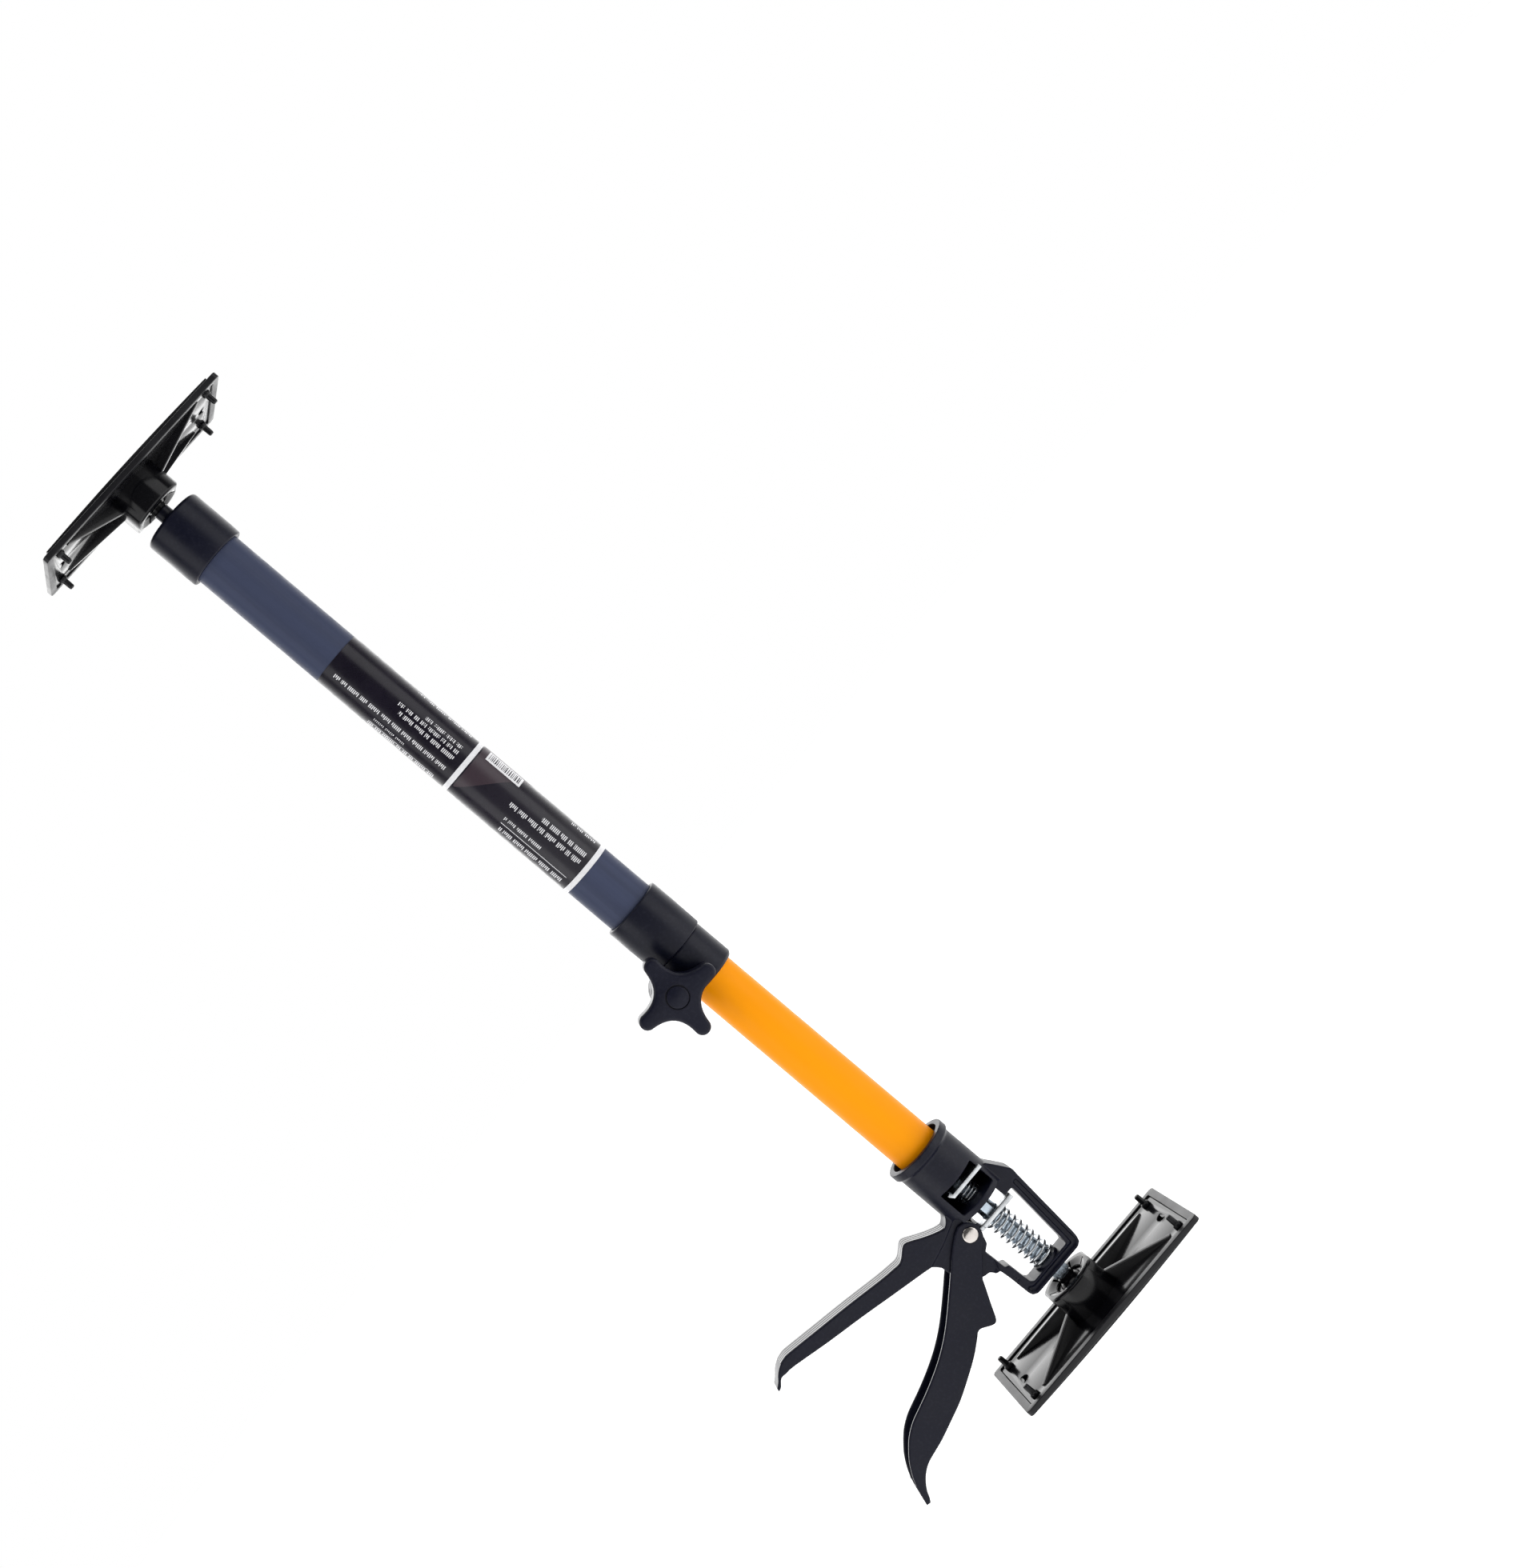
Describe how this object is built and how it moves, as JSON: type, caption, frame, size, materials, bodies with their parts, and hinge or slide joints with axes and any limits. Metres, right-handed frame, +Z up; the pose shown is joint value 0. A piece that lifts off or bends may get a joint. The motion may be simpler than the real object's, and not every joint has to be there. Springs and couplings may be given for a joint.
{
  "type": "telescopic support prop",
  "caption": "Telescopic drywall and cabinet support prop: two sliding tubes with a clamp knob, a trigger-driven push rod, and swivel rubber pads at both ends.",
  "frame": {"origin": "centre of the foot pad's bearing face, where the tube axis meets it", "axes": "+Z up the tubes from foot to head; grip and trigger reach to -X; clamp knob faces -Y"},
  "size_m": [0.2031, 0.0964, 0.632],
  "materials": {
    "black_abs": "fine matte texture",
    "gloss_black": "glossy moulded",
    "pad_rubber": "soft matte",
    "orange_tube": "gloss powder coat",
    "slate_tube": "satin powder coat",
    "zinc_steel": "zinc plated",
    "rod_steel": "blue-white zinc plated",
    "nylon": "natural nylon",
    "label_film": "glossy printed film"
  },
  "bodies": {
    "frame": {"housing": "black_abs", "inner_tube": "orange_tube", "tube_rivet": "zinc_steel", "rod_guide": "nylon", "spring_seat": "black_abs", "tube_bush": "nylon", "trigger_pin": "zinc_steel", "drive_spring": "zinc_steel", "release_spring": "zinc_steel"},
    "trigger": {"trigger": "black_abs"},
    "drive": {"drive_plate": "zinc_steel"},
    "brake": {"release_plate": "zinc_steel"},
    "rod": {"push_rod": "rod_steel", "rod_stop": "nylon"},
    "foot_ball": {"foot_ball": "gloss_black"},
    "foot_cup": {"foot_cup": "nylon"},
    "foot": {"foot_plate": "gloss_black", "foot_rubber": "pad_rubber", "foot_plugs": "pad_rubber", "foot_retainer": "gloss_black"},
    "upper": {"outer_tube": "slate_tube", "label_wrap": "label_film", "collar_sleeve": "black_abs", "clamp_collar": "black_abs", "clamp_liner": "nylon", "clamp_screw": "zinc_steel", "clamp_nut": "zinc_steel", "top_cap": "black_abs", "top_stud": "black_abs"},
    "knob": {"knob": "black_abs", "knob_cap": "black_abs"},
    "head_ball": {"top_ball": "gloss_black"},
    "head_cup": {"top_cup": "nylon"},
    "head": {"top_plate": "gloss_black", "top_rubber": "pad_rubber", "top_plugs": "pad_rubber", "top_retainer": "gloss_black"}
  },
  "joints": [
    {"name": "tube_slide", "type": "slide", "parent": "frame", "child": "upper", "axis": [0, 0, 1], "range_m": [-0.132, 0.173]},
    {"name": "knob_turn", "type": "hinge", "parent": "upper", "child": "knob", "pos_m": [-0.0184, -0.02, 0.2618], "axis": [0, -1, 0], "range_deg": [-360, 0]},
    {"name": "rod_slide", "type": "slide", "parent": "frame", "child": "rod", "axis": [0, 0, -1], "range_m": [0, 0.345]},
    {"name": "trigger_pull", "type": "hinge", "parent": "frame", "child": "trigger", "pos_m": [-0.0151, 0, 0.0737], "axis": [0, 1, 0], "range_deg": [0, 24], "stiffness_Nm_per_rad": 0.6, "springref_deg": -17.19},
    {"name": "drive_push", "type": "slide", "parent": "frame", "child": "drive", "axis": [0, 0, -1], "range_m": [0, 0.003], "deforming": ["drive_spring"]},
    {"name": "brake_tilt", "type": "hinge", "parent": "frame", "child": "brake", "pos_m": [0.0126, 0, 0.0946], "axis": [0, -1, 0], "range_deg": [0, 7], "stiffness_Nm_per_rad": 0.2, "springref_deg": -17.19, "deforming": ["release_spring"]},
    {"name": "foot_spin", "type": "hinge", "parent": "rod", "child": "foot_ball", "pos_m": [0, 0, 0.0152], "axis": [0, 0, 1], "continuous": true},
    {"name": "foot_rock", "type": "hinge", "parent": "foot_ball", "child": "foot_cup", "pos_m": [0, 0, 0.0152], "axis": [1, 0, 0], "range_deg": [-18, 18]},
    {"name": "foot_tilt", "type": "hinge", "parent": "foot_cup", "child": "foot", "pos_m": [0, 0, 0.0152], "axis": [0, 1, 0], "range_deg": [-18, 18]},
    {"name": "head_spin", "type": "hinge", "parent": "upper", "child": "head_ball", "pos_m": [0, 0, 0.6168], "axis": [0, 0, 1], "continuous": true},
    {"name": "head_rock", "type": "hinge", "parent": "head_ball", "child": "head_cup", "pos_m": [0, 0, 0.6168], "axis": [0.9781, 0.2079, 0], "range_deg": [-18, 18]},
    {"name": "head_tilt", "type": "hinge", "parent": "head_cup", "child": "head", "pos_m": [0, 0, 0.6168], "axis": [-0.2079, 0.9781, 0], "range_deg": [-18, 18]}
  ],
  "couplings": [
    {"joint": "drive_push", "follows": "trigger_pull", "m_per_rad": 0.0069}
  ]
}
